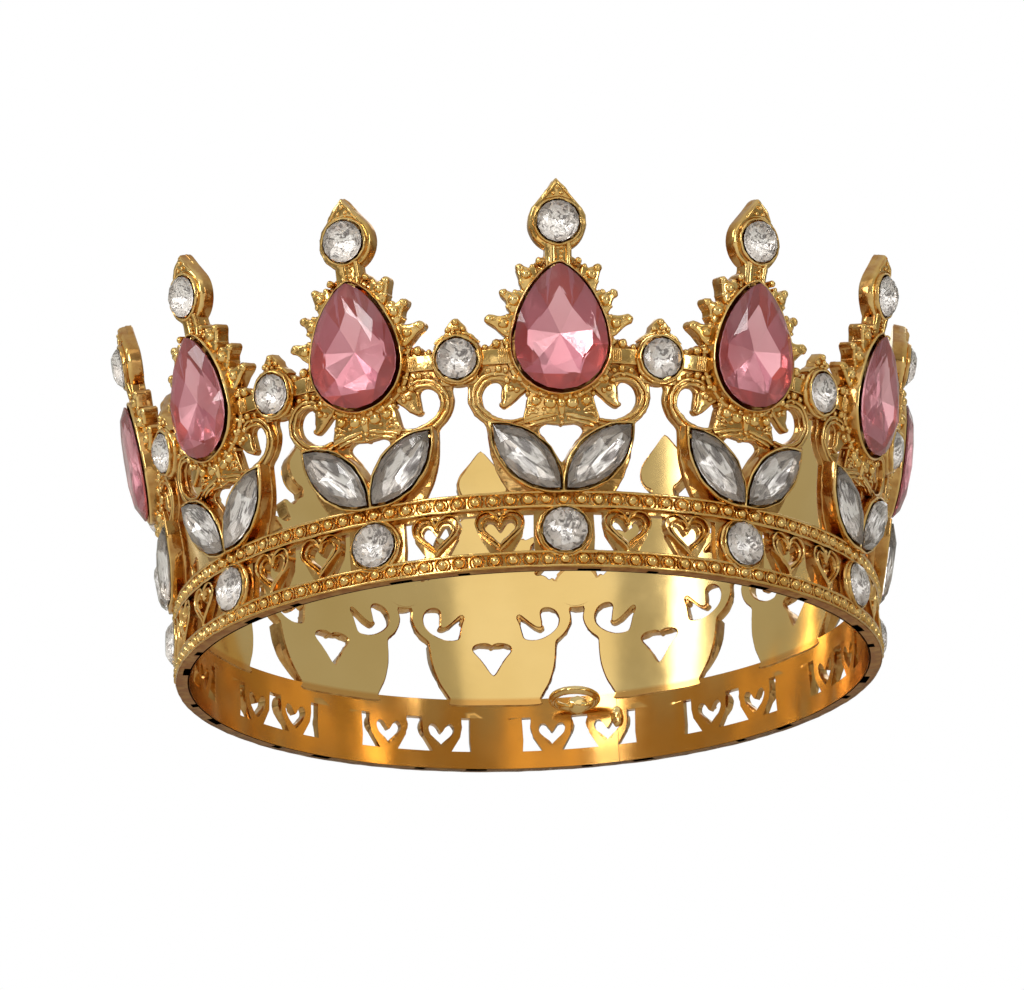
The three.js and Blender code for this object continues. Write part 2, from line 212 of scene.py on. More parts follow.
class Drawing:
    """Closed shells in flat millimetres."""

    def __init__(self):
        self.verts, self.faces, self.bases = [], [], 0

    def add(self, verts, faces):
        start = len(self.verts)
        self.verts += [tuple(v) for v in verts]
        self.faces += [tuple(start + i for i in f) for f in faces]

    def add_both_sides(self, right):
        """Adds another drawing and its mirror image."""
        self.add(right.verts, right.faces)
        self.add([(-x, h, d) for x, h, d in right.verts], right.faces)

    def base(self):
        """Backs at slightly different depths, so that no two lie in one plane."""
        self.bases += 1
        return BACK_DEPTH + BACK_STEP * (self.bases % BACK_CYCLE)

    def rings(self, rings, closed=False):
        """Skins a row of rings with equal numbers of points, with a cap on each end or closed to a loop."""
        n = len(rings[0])
        faces = []
        rows = len(rings)
        for r in range(rows if closed else rows - 1):
            faces += strip(r * n, (r + 1) % rows * n, n)
        if not closed:
            faces.append(tuple(range(n))[::-1])
            faces.append(tuple((rows - 1) * n + i for i in range(n)))
        self.add([v for ring in rings for v in ring], faces)

    def prism(self, outline, back, front, bevel=0.25, rise=None, holes=(), back_bevel=0.1):
        """A plate with rounded front edges."""
        rise = bevel if rise is None else rise
        loops = [counterclockwise(np.array(o, float)) for o in (outline, *holes)]
        steps = [(back_bevel, back), (0, back + back_bevel)]
        turns = (0, 0.6, 1.1, math.pi / 2)
        steps += [(bevel * (1 - math.cos(t)), front - rise + rise * math.sin(t)) for t in turns]
        verts, faces, tops, bottoms = [], [], [], []
        for k, loop in enumerate(loops):
            inwards = -1 if k == 0 else 1
            n = len(loop)
            for row, (amount, depth) in enumerate(steps):
                start = len(verts)
                verts += [(x, h, depth) for x, h in offset(loop, inwards * amount)]
                if row:
                    faces += strip(start - n, start, n)
                else:
                    bottoms.append(range(start, start + n))
            tops.append(range(start, start + n))
        for caps in (tops, bottoms):
            ids = [i for cap in caps for i in cap]
            tris = tessellate_polygon([[Vector((verts[i][0], verts[i][1], 0)) for i in cap] for cap in caps])
            faces += [tuple(ids[i] for i in tri) for tri in tris]
        self.add(verts, faces)

    def rim(self, outline, profile):
        """A closed line of metal round an outline. The profile gives (offset, depth) points."""
        outline = counterclockwise(np.array(outline, float))
        columns = [offset(outline, amount) for amount, _ in profile]
        rings = [[(*columns[k][i], profile[k][1]) for k in range(len(profile))] for i in range(len(outline))]
        self.rings(rings, closed=True)

    def bar(self, path, widths, tops, steps=4):
        """A raised line along an open path, with half widths and top depths at its points."""
        base = self.base()
        fine = curve(path, steps, closed=False)
        at = np.linspace(0, len(path) - 1, len(fine))
        width = np.interp(at, range(len(path)), np.broadcast_to(widths, len(path)))
        top = np.interp(at, range(len(path)), np.broadcast_to(tops, len(path)))
        along = np.gradient(fine, axis=0)
        along /= np.maximum(np.linalg.norm(along, axis=1, keepdims=True), 1e-9)
        right = np.stack([along[:, 1], -along[:, 0]], axis=1)
        rings = []
        for p, n, w, t in zip(fine, right, width, top):
            crown = min(w, t - base) * 0.85
            section = [(-1, base), (-1, t - crown), (-0.87, t - 0.5 * crown)]
            section += [(-0.5, t - 0.13 * crown), (0, t)]
            section += [(-s, d) for s, d in reversed(section[:-1])]
            rings.append([(*(p + n * w * s), d) for s, d in section])
        self.rings(rings)

    def turned(self, x, h, radius, rows, segments):
        """A round form, with (share of the radius, depth) rows."""
        angles = np.linspace(0, 2 * math.pi, segments, endpoint=False)
        self.rings([
            [(x + s * radius * math.cos(a), h + s * radius * math.sin(a), d) for a in angles] for s, d in rows
        ])

    def ball(self, x, h, radius, depth):
        """A granule on a short stem."""
        base = self.base()
        r = radius * rng.uniform(0.93, 1.07)
        x, h = x + rng.uniform(-0.06, 0.06), h + rng.uniform(-0.06, 0.06)
        rows = [(0.92, base), (0.95, depth - 0.2 * r)]
        rows += [(math.cos(t), depth + r * math.sin(t)) for t in (0.1, 0.5, 0.9, 1.25)]
        self.turned(x, h, r, rows, 12)

    def dome(self, x, h, radius, base, rise):
        """A low swelling."""
        rows = [(1, base - 0.6), (1, base - 0.1)]
        rows += [(math.cos(t), base + rise * math.sin(t)) for t in (0.3, 0.7, 1.1, 1.4)]
        self.turned(x, h, radius, rows, 14)

    def slice(self, step):
        """Cuts wide faces at regular x, so that they can follow the ring."""
        bm = self.to_bmesh()
        reach = max(abs(v[0]) for v in self.verts)
        cuts = int(reach / step)
        for k in range(-cuts, cuts + 1):
            cut_at(bm, k * step)
        self.take(bm)

    def keep_side(self, x, side):
        """Cuts everything off at x and keeps one side, closed again."""
        bm = self.to_bmesh()
        cut_at(bm, x, side, clear=True)
        open_edges = [e for e in bm.edges if len(e.link_faces) == 1]
        bmesh.ops.holes_fill(bm, edges=open_edges, sides=0)
        self.take(bm)
        return self

    def to_bmesh(self):
        bm = bmesh.new()
        made = [bm.verts.new(v) for v in self.verts]
        for f in self.faces:
            bm.faces.new([made[i] for i in f])
        return bm

    def take(self, bm):
        bm.verts.index_update()
        self.verts = [tuple(v.co) for v in bm.verts]
        self.faces = [tuple(v.index for v in f.verts) for f in bm.faces]
        bm.free()

    def finished(self, rough=1.0, half_width=99.0):
        """Points, faces, corner normals and values that paint the gold brown: in the depths of the relief
        partly as patina and partly as shade, and as painted shade on side walls and the bottom face. The
        casting is uneven: it has soft lumps, and fine pleats that run from front to back on its side walls.
        Both fade out at half_width."""
        bm = self.to_bmesh()
        bmesh.ops.recalc_face_normals(bm, faces=bm.faces[:])
        for v in bm.verts:
            share = rough * clamped((v.co.z - 0.15) / 0.6) * clamped((half_width - abs(v.co.x)) / 1.5)
            lumps = noise.noise_vector(v.co * 0.55) * CAST_LUMPS
            lumps += noise.noise_vector(v.co * 1.5) * CAST_LUMPS / 2
            pleats = noise.noise_vector(Vector((v.co.x, v.co.y, 4)) * 1.25) * CAST_PLEATS
            v.co += (lumps + Vector((pleats.x, pleats.y, 0))) * share
        mesh = bpy.data.meshes.new("flat")
        bm.to_mesh(mesh)
        bm.free()
        mesh.polygons.foreach_set("use_smooth", [True] * len(mesh.polygons))
        mesh.set_sharp_from_angle(angle=SHARP_EDGE)
        points = read_vectors(mesh.vertices, "co")
        normals = read_vectors(mesh.corner_normals, "vector")
        faces = [tuple(p.vertices) for p in mesh.polygons]
        bpy.data.meshes.remove(mesh)
        corners = points[[i for f in faces for i in f]]
        height, depth = corners[:, 1], corners[:, 2]
        # patina and painted shade: the lower the relief lies, the browner the gold is painted
        recess = np.clip((3.2 - depth) / 2.0, 0, 1)
        # painted shade on side walls
        recess = np.where(np.abs(normals[:, 2]) < 0.35, np.maximum(recess, SIDE_WALL_SHADE), recess)
        recess = np.where((normals[:, 2] < -0.9) & (depth < 0.1), INSIDE, recess)
        # painted shade on the bottom face
        recess = np.where((normals[:, 1] < -0.8) & (height < 0.1) & (height > -0.5), BOTTOM_FACE_SHADE, recess)
        return points, faces, normals, recess


# ---------------------------------------------------------------- laying on the ring
def frame_at(angle, h, flare):
    """Origin and the along, up and out directions of the wall at an angle and height, in millimetres."""
    angle = np.asarray(angle, float)
    zero = np.zeros_like(angle)
    radius = INNER_RADIUS + np.asarray(h) * math.sin(flare)
    lift = (BAND_HEIGHT if flare else 0) + np.asarray(h) * math.cos(flare)
    s, c = np.sin(angle), np.cos(angle)
    origin = np.stack([radius * s, -radius * c, lift + zero], axis=-1)
    along = np.stack([c, s, zero], axis=-1)
    out = np.stack([s * math.cos(flare), -c * math.cos(flare), zero - math.sin(flare)], axis=-1)
    up = np.stack([s * math.sin(flare), -c * math.sin(flare), zero + math.cos(flare)], axis=-1)
    return origin, along, up, out


def drawn_radius(h, flare=FLARE):
    """The radius at which flat millimetres along x are true ones."""
    return INNER_RADIUS + h * math.sin(FLARE) + DRAWN_DEPTH * math.cos(FLARE) if flare else BAND_RADIUS


def seat_frame(panel, anchor, flare, turn):
    """Origin and directions of a part that stands rigidly at its anchor (x, h) on a panel."""
    x, h = anchor
    origin, along, up, out = frame_at(panel * PANEL_ANGLE + x / drawn_radius(h, flare), h, flare)
    c, s = math.cos(turn), math.sin(turn)
    return origin, along * c + up * s, up * c - along * s, out


def add_object(name, data):
    thing = bpy.data.objects.new(name, data)
    bpy.context.collection.objects.link(thing)
    return thing


class Metal:
    """A mesh on the ring, with its own corner normals."""

    def __init__(self):
        self.points, self.faces, self.normals, self.recesses, self.count = [], [], [], [], 0

    def lay(self, flat, panel, flare=FLARE, anchor=None, turn=0.0):
        """Bends a flat drawing round the ring, or sets it rigidly at its anchor (x, h)."""
        points, faces, normals, recess = flat
        if anchor is None:
            angles = panel * PANEL_ANGLE + points[:, 0] / drawn_radius(points[:, 1], flare)
            origin, along, up, out = frame_at(angles, points[:, 1], flare)
            placed = origin + out * points[:, 2:3]
            pick = [i for f in faces for i in f]
            along, up, out = along[pick], up[pick], out[pick]
        else:
            origin, along, up, out = seat_frame(panel, anchor, flare, turn)
            placed = origin + points[:, :1] * along + points[:, 1:2] * up + points[:, 2:3] * out
        placed[:, 2] = np.maximum(placed[:, 2], 0)
        self.points.append(placed * MM)
        self.normals.append(normals[:, :1] * along + normals[:, 1:2] * up + normals[:, 2:3] * out)
        self.recesses.append(recess)
        self.faces += [tuple(self.count + i for i in f) for f in faces]
        self.count += len(points)

    def to_object(self, name, material):
        mesh = bpy.data.meshes.new(name)
        mesh.from_pydata(np.concatenate(self.points).tolist(), [], self.faces)
        mesh.polygons.foreach_set("use_smooth", [True] * len(mesh.polygons))
        mesh.normals_split_custom_set(np.concatenate(self.normals).tolist())
        # patina and painted shade for each corner, read by the gold
        recess = mesh.attributes.new("recess", "FLOAT", "CORNER")
        recess.data.foreach_set("value", np.concatenate(self.recesses))
        mesh.materials.append(material)
        return add_object(name, mesh)


# ---------------------------------------------------------------- node helpers
def new_material(name):
    material = bpy.data.materials.new(name)
    material.use_nodes = True
    tree = material.node_tree
    return material, tree, tree.nodes["Principled BSDF"]


def noise_node(tree, scale, detail=3.0, coordinates=None, roughness=0.55):
    node = tree.nodes.new("ShaderNodeTexNoise")
    node.inputs["Scale"].default_value = scale
    node.inputs["Detail"].default_value = detail
    node.inputs["Roughness"].default_value = roughness
    if coordinates is None:
        coordinates = tree.nodes.new("ShaderNodeTexCoord").outputs["Object"]
    tree.links.new(coordinates, node.inputs["Vector"])
    return node.outputs["Fac"]


def ramp_node(tree, value, stops):
    node = tree.nodes.new("ShaderNodeValToRGB")
    ramp = node.color_ramp
    while len(ramp.elements) < len(stops):
        ramp.elements.new(0.5)
    for element, (position, colour) in zip(ramp.elements, stops):
        element.position = position
        element.color = (*colour, 1)
    tree.links.new(value, node.inputs["Fac"])
    return node.outputs["Color"]


def range_node(tree, value, low, high, from_low=0.3, from_high=0.7):
    node = tree.nodes.new("ShaderNodeMapRange")
    node.inputs["From Min"].default_value = from_low
    node.inputs["From Max"].default_value = from_high
    node.inputs["To Min"].default_value = low
    node.inputs["To Max"].default_value = high
    tree.links.new(value, node.inputs["Value"])
    return node.outputs["Result"]


def mix_node(tree, factor, a, b, data="RGBA", blend="MIX"):
    """A mix of two colours, or of two numbers when data is FLOAT. Each input is a socket or a value."""
    node = tree.nodes.new("ShaderNodeMix")
    node.data_type = data
    node.blend_type = blend
    for name, value in (("Factor", factor), ("A", a), ("B", b)):
        if isinstance(value, bpy.types.NodeSocket):
            tree.links.new(value, node.inputs[name])
        else:
            node.inputs[name].default_value = (*value, 1) if isinstance(value, tuple) else value
    return node.outputs["Result"]


def shader_mix(tree, factor, first, second):
    node = tree.nodes.new("ShaderNodeMixShader")
    tree.links.new(factor, node.inputs["Fac"])
    tree.links.new(first, node.inputs[1])
    tree.links.new(second, node.inputs[2])
    return node.outputs["Shader"]


def math_node(tree, operation, a, b):
    node = tree.nodes.new("ShaderNodeMath")
    node.operation = operation
    tree.links.new(a, node.inputs[0])
    tree.links.new(b, node.inputs[1])
    return node.outputs[0]


def attribute_node(tree, name):
    node = tree.nodes.new("ShaderNodeAttribute")
    node.attribute_name = name
    return node.outputs["Fac"]


def axis_node(tree, vector, axis):
    node = tree.nodes.new("ShaderNodeSeparateXYZ")
    tree.links.new(vector, node.inputs[0])
    return node.outputs[axis]


def bump_node(tree, shader, height, strength, distance):
    node = tree.nodes.new("ShaderNodeBump")
    node.inputs["Strength"].default_value = strength
    node.inputs["Distance"].default_value = distance
    tree.links.new(height, node.inputs["Height"])
    tree.links.new(node.outputs["Normal"], shader.inputs["Normal"])


def gold_material(name, pale, deep, brown, brown_limit):
    """Thin gold plating over a casting. The outside is uneven in tone and dimpled, and painted brown in its
    hollows, partly as patina and partly as painted shade, with painted shade on its side walls. The inside is
    polished with faint wipe marks and redder in the band, and the bottom edge is painted as the deepest shade,
    the brownest."""
    material, tree, shader = new_material(name)
    shader.inputs["Metallic"].default_value = 1.0
    coordinates = tree.nodes.new("ShaderNodeTexCoord").outputs["Object"]
    recess = attribute_node(tree, "recess")
    inside = range_node(tree, recess, 1.0, 0.0, INSIDE, INSIDE / 2)
    mottle = ramp_node(tree, noise_node(tree, 160, 4, coordinates), [(0.3, deep), (0.7, pale)])
    even = ramp_node(tree, noise_node(tree, 45, 2, coordinates), [(0.3, WALL_DEEP), (0.7, WALL_PALE)])
    in_band = range_node(tree, axis_node(tree, coordinates, "Z"), 1.0, 0.0, *BAND_TONE_ENDS)
    tone = mix_node(tree, inside, mottle, mix_node(tree, in_band, even, BAND_COPPER))
    # patina and painted shade: brown is mixed in, in patches, where the relief lies low, on side walls and on
    # the bottom face
    patchy = range_node(tree, noise_node(tree, 420, 3, coordinates), 0.4, 1.0)
    share = range_node(tree, math_node(tree, "MULTIPLY", recess, patchy), 0.0, brown_limit, 0.1, 1.0)
    tree.links.new(mix_node(tree, share, tone, brown), shader.inputs["Base Color"])
    cast = range_node(tree, noise_node(tree, 90, 5, coordinates, 0.7), 0.10, 0.21)
    polished = range_node(tree, noise_node(tree, 70, 4, coordinates, 0.7), 0.10, 0.19)
    tree.links.new(mix_node(tree, inside, cast, polished, "FLOAT"), shader.inputs["Roughness"])
    dimples, ripples = noise_node(tree, 520, 2, coordinates), noise_node(tree, 60, 2, coordinates)
    bump_node(tree, shader, mix_node(tree, inside, dimples, ripples, "FLOAT"), 0.3, 0.0003)
    return material


def foil_material(name, colour, painted_dim_reflection, stretch=1.0, ripple=0.3, scratched=True):
    """The foil on a stone's back facets, part mirror and part haze. The back facets each carry a painted
    reflection, a tone from dim to bright.
    """
    material, tree, shader = new_material(name)
    shader.inputs["Metallic"].default_value = 0.55
    # painted reflections: the back facets are toned from dim through the foil colour to bright
    tone = ramp_node(tree, attribute_node(tree, "painted_facet_reflection"), [(0.0, painted_dim_reflection), (0.5, colour), (1.0, PAINTED_BRIGHT_REFLECTION)])
    mapping = tree.nodes.new("ShaderNodeMapping")
    mapping.inputs["Scale"].default_value = (1, 1 / stretch, 1)
    tree.links.new(tree.nodes.new("ShaderNodeTexCoord").outputs["Object"], mapping.inputs["Vector"])
    if scratched:
        fine = noise_node(tree, 620, 2, mapping.outputs["Vector"])
        fine.node.inputs["Distortion"].default_value = 1.6
        streaks = ramp_node(tree, fine, [(0.38, FOIL_SCRATCH), (0.47, (1, 1, 1))])
        tone = mix_node(tree, 1.0, tone, streaks, blend="MULTIPLY")
    tree.links.new(tone, shader.inputs["Base Color"])
    tree.links.new(range_node(tree, noise_node(tree, 700), 0.05, 0.14), shader.inputs["Roughness"])
    bump_node(tree, shader, noise_node(tree, 420, 2, mapping.outputs["Vector"]), ripple, 0.0004)
    return material


def glass_material(name, colour, clear):
    """Cut glass with faint moulding waves. A little of its body colour scatters, as in moulded stones."""
    material, tree, shader = new_material(name)
    paler = tuple(0.5 + 0.5 * c for c in colour)
    tone = ramp_node(tree, noise_node(tree, 90, 2), [(0.35, colour), (0.65, paler)])
    tree.links.new(mix_node(tree, 0.35, colour, tone), shader.inputs["Base Color"])
    shader.inputs["Transmission Weight"].default_value = clear
    shader.inputs["IOR"].default_value = GLASS_IOR
    tree.links.new(range_node(tree, noise_node(tree, 300), 0.0, 0.04), shader.inputs["Roughness"])
    bump_node(tree, shader, noise_node(tree, 260, 2), 0.04, 0.0002)
    # light reaches the foil straight through the glass
    clear_path = tree.nodes.new("ShaderNodeBsdfTransparent")
    clear_path.inputs["Color"].default_value = (*colour, 1)
    shadow = tree.nodes.new("ShaderNodeLightPath").outputs["Is Shadow Ray"]
    both = shader_mix(tree, shadow, shader.outputs["BSDF"], clear_path.outputs["BSDF"])
    tree.links.new(both, tree.nodes["Material Output"].inputs["Surface"])
    return material


# the polished inside: the wall's two tones, and the band's, which is reached between two heights in metres
WALL_DEEP, WALL_PALE, BAND_COPPER = (0.80, 0.55, 0.20), (0.87, 0.62, 0.25), (0.72, 0.39, 0.11)
BAND_TONE_ENDS = (0.0156, 0.0164)
# the bright end of the foil's painted reflections, and the colour of its scratches
PAINTED_BRIGHT_REFLECTION, FOIL_SCRATCH = (0.98, 0.97, 0.96), (0.25, 0.23, 0.23)
GLASS_IOR = 1.55
GOLD = gold_material("gold_plating", (0.95, 0.68, 0.28), (0.78, 0.47, 0.13), (0.40, 0.14, 0.03), 0.9)
SOLDER = gold_material("solder", (0.95, 0.72, 0.33), (0.78, 0.50, 0.16), (0.45, 0.2, 0.05), 0.3)
PINK_GLASS = glass_material("pink_glass", (0.89, 0.44, 0.49), 0.92)
PINK_FOIL = foil_material("pink_foil", (0.52, 0.34, 0.40), (0.40, 0.085, 0.055), 1.0, 0.03, False)
CLEAR_GLASS = glass_material("clear_glass", (0.97, 0.955, 0.925), 0.95)
CLEAR_FOIL = foil_material("silver_foil", (0.88, 0.84, 0.80), (0.46, 0.41, 0.37), 1.0, 0.7)
LEAF_FOIL = foil_material("leaf_foil", (0.53, 0.48, 0.43), (0.25, 0.19, 0.14), 5.0, 0.9)

# ---------------------------------------------------------------- crest
PLATE_HALF = [
    (0, -1.5), (10.3, -1.5), (10.6, 0), (11.5, 1.6), (12.7, 3.6), (13.6, 5.8), (14.3, 8.2), (14.7, 10.8),
    (14.9, 13.0), (15.2, 14.2), (16.8, 15.6), (18.1, 17.4), (18.8, 19.6), (18.6, 21.6), (18.9, 22.8),
    (17.6, 25.6), (17.4, 28.9), (15.4, 29.4), (14.9, 30.1), (14.2, 29.8), (13.5, 30.5), (12.5, 31.0),
    (11.4, 31.0), (11.2, 31.7), (12.6, 32.9), (14.2, 34.0), (14.9, 34.9), (14.4, 35.8), (13.0, 35.7),
    (11.4, 35.5), (10.0, 35.7), (9.5, 36.0), (10.3, 37.0), (10.6, 38.2), (11.4, 39.1), (11.9, 40.0),
    (11.4, 40.8), (10.2, 40.4), (9.2, 40.1), (7.9, 40.5), (7.5, 40.9), (7.9, 42.0), (8.2, 43.4), (8.6, 44.7),
    (8.2, 45.6), (7.1, 45.4), (6.0, 44.9), (5.2, 45.5), (4.4, 46.4), (3.6, 47.0), (2.9, 47.4), (2.8, 49.2),
    (4.2, 50.2), (5.3, 51.8), (5.8, 53.9), (5.5, 55.7), (4.5, 57.3), (3.2, 59.2), (1.8, 61.2), (0.7, 62.6),
    (0, 63.0),
]
RAYS = [
    [(4.0, 43.2), (4.5, 45.2), (5.3, 45.5), (6.0, 44.9), (7.2, 45.4), (8.2, 45.6), (8.6, 44.7), (8.1, 43.0),
     (7.7, 41.3), (6.9, 40.0), (5.0, 41.0)],
    [(6.6, 39.2), (7.9, 40.4), (9.2, 40.0), (10.2, 40.4), (11.4, 40.8), (11.9, 39.9), (11.2, 39.0),
     (10.6, 38.0), (10.3, 36.6), (9.0, 35.6), (7.4, 36.4)],
    [(8.2, 35.0), (9.8, 35.7), (11.6, 35.4), (13.0, 35.7), (14.3, 35.8), (14.9, 34.9), (14.2, 34.0),
     (12.8, 33.0), (11.4, 31.6), (9.8, 31.0), (8.9, 32.4)],
]
SPIKE = [
    (12.1, 17.6), (11.5, 19.2), (11.6, 21.4), (10.4, 22.8), (8.4, 23.2), (6.9, 21.8), (6.6, 20.6),
    (8.0, 19.4), (9.4, 18.2), (10.4, 17.5), (11.4, 17.1),
]
J_HOLE = [
    (7.9, 15.1), (7.3, 16.6), (6.9, 18.6), (6.3, 20.3), (6.8, 20.9), (8.0, 19.9), (9.4, 18.6), (10.8, 17.7),
    (11.9, 17.9), (11.9, 19.6), (11.8, 21.5), (12.6, 22.4), (14.0, 22.3), (15.2, 21.4), (15.8, 19.8),
    (15.5, 18.1), (14.3, 16.6), (12.4, 15.4), (10.2, 14.8),
]
KITE_HALF = [
    (0, 6.2), (0.8, 7.1), (1.7, 8.6), (2.9, 10.4), (4.0, 11.7), (4.4, 12.6), (3.9, 13.4), (2.8, 13.8),
    (1.4, 13.9), (0.5, 13.6), (0, 13.3),
]
FIELD_HALF = [
    (0, 13.5), (3.2, 13.8), (4.8, 13.2), (7.5, 14.4), (7.4, 16), (6.8, 18.4), (6.0, 20.4), (3, 21.2), (0, 21),
]
# granules of one half: x, h, radius and depth
GRANULES = [
    (6.4, 43.4, 1.15, 2.3), (7.75, 44.8, 1.0, 2.0), (5.1, 45.0, 0.6, 2.1), (7.4, 42.0, 0.6, 2.1),
    (5.2, 42.9, 0.6, 2.2), (8.9, 38.3, 1.25, 2.3), (10.95, 39.9, 1.0, 1.9), (10.0, 37.2, 0.6, 2.1),
    (8.6, 40.0, 0.6, 2.1), (9.9, 39.7, 0.5, 2.1), (11.1, 33.8, 1.2, 2.3), (13.9, 34.9, 1.0, 1.9),
    (10.6, 32.2, 0.6, 2.1), (10.2, 35.1, 0.6, 2.1), (12.8, 34.9, 0.55, 2.1), (12.6, 29.9, 1.05, 2.5),
    (14.9, 29.4, 0.6, 2.4), (10.7, 30.3, 0.7, 2.4), (12.4, 25.0, 0.8, 2.6), (14.3, 24.7, 0.55, 2.5),
    (10.9, 24.6, 0.6, 2.5), (12.9, 23.9, 0.5, 2.2), (9.7, 21.0, 0.7, 2.3), (8.7, 20.5, 0.6, 2.2),
    (10.6, 22.6, 0.75, 2.3), (9.2, 22.9, 0.7, 2.6), (11.8, 17.9, 0.6, 1.5), (5.0, 18.3, 1.05, 2.5),
    (6.5, 19.8, 0.6, 2.2), (3.9, 46.0, 0.75, 2.6), (1.5, 14.6, 0.5, 2.6), (6.4, 15.9, 0.5, 2.4),
    (5.5, 16.6, 0.45, 2.4), (6.6, 17.0, 0.45, 2.3), (3.4, 16.6, 0.5, 2.4), (3.7, 19.5, 0.6, 2.4),
]
# The rays stand higher than the rest, and so do their granules, which are those above RAYS_START.
RAY_TOP, RAYS_START, RAY_GRANULE_LIFT = 3.5, 31, 0.95
SCROLL = [
    (10.6, 22.9), (12.2, 23.5), (14.3, 23.4), (16.1, 22.2), (17.0, 20.0), (16.7, 17.8), (15.2, 15.9),
    (12.9, 14.5), (10.2, 13.9), (7.6, 14.3),
]
SCROLL_WIDTHS = [0.6, 0.9, 1.0, 1.0, 1.0, 1.0, 1.0, 0.95, 0.8, 0.5]
SCROLL_RIDGE_WIDTHS = [0.2, 0.36, 0.4, 0.4, 0.4, 0.4, 0.4, 0.38, 0.35, 0.2]
# leaf veins in the field below the big stone: path and half width
VEINS = (
    ([(0.8, 15.6), (3.8, 15.0), (7.3, 14.1)], 0.45), ([(1.4, 14.6), (3.8, 14.1), (6.3, 13.4)], 0.35),
    ([(4.6, 15.7), (5.8, 15.9), (7.0, 15.3)], 0.3), ([(4.4, 16.4), (5.6, 17.2), (6.9, 17.4)], 0.3),
)

# Rims that hold the stones: (offset from the stone's outline, depth)
BEZEL = [
    (1.25, 0.3), (1.05, 2.6), (0.95, 3.9), (0.87, 4.25), (0.7, 4.4), (0.5, 4.3), (0.36, 3.9), (0.3, 1.2),
    (0.7, 0.3),
]
SMALL_BEZEL = [
    (0.98, 0.5), (0.86, 2.8), (0.82, 3.6), (0.7, 3.85), (0.52, 3.95), (0.36, 3.85), (0.26, 3.4), (0.22, 1.2),
    (0.6, 0.5),
]
TIP_BEZEL = [(amount, depth + 0.15 if depth > 2 else depth) for amount, depth in SMALL_BEZEL]
BAND_BEZEL = [
    (1.1, 1.0), (0.62, 2.9), (0.54, 3.1), (0.44, 3.2), (0.32, 3.1), (0.26, 2.8), (0.24, 1.4), (0.5, 1.0),
]


def crest_side():
    """What stands on one half of a panel."""
    d = Drawing()
    for ray in RAYS:
        d.prism(curve(ray, 2), 0.2 + 0.03 * ray[0][0] / 8, RAY_TOP, 0.5, 0.8)
    d.prism(curve(SPIKE, 2), 0.27, 2.1, 0.5, 0.8)
    for x, h, r, depth in GRANULES:
        d.ball(x, h, r, depth + (RAY_GRANULE_LIFT if h > RAYS_START else 0))
    for x, h, r in ((2.2, 18.0, 1.35), (8.0, 22.9, 0.9), (9.9, 28.2, 0.6)):
        d.dome(x, h, r, 2.3, 0.8)
    # the strap to the next panel, with its row of fine ribs
    d.prism([(9.6, 25.8), (17.2, 25.8), (17.2, 29.0), (9.6, 29.0)], 0.3, 2.75, 0.25)
    for x in np.arange(10.5, 12.2, 0.42):
        d.bar([(x, 26.1), (x, 27.4), (x, 28.7)], 0.17, 2.93)
    d.bar(SCROLL, SCROLL_WIDTHS, 2.0)
    fine = curve(SCROLL, 1, closed=False)
    along = np.gradient(fine, axis=0)
    along /= np.linalg.norm(along, axis=1, keepdims=True)
    right = np.stack([along[:, 1], -along[:, 0]], axis=1)
    for shift in (-0.5, 0.5):
        d.bar(fine + right * shift, SCROLL_RIDGE_WIDTHS, 2.65)
    d.bar([(16.8, 22.6), (17.0, 24.0), (16.6, 25.4)], [0.9, 0.8, 0.7], [2.3, 2.4, 2.4])
    for path, width in VEINS:
        d.bar(path, [width * 0.6, width, width * 0.8], [2.7, 3.0, 2.7])
    # short ridges that stand round the big stone between the rays
    outline = pear_outline(40)
    outward = offset(outline, 1.0) - outline
    for i in range(2, len(outline) // 2 - 3, 3):
        (x, h), (nx, nh) = outline[i], outward[i]
        x0, h0 = x + nx * 1.0, h + nh * 1.0 + PEAR_CENTRE
        if not 25.3 < h0 < 29.6:
            d.bar([(x0, h0), (x0 + nx * 0.5, h0 + nh * 0.5), (x0 + nx, h0 + nh)], 0.32, [3.2, 3.0, 2.5])
    return d


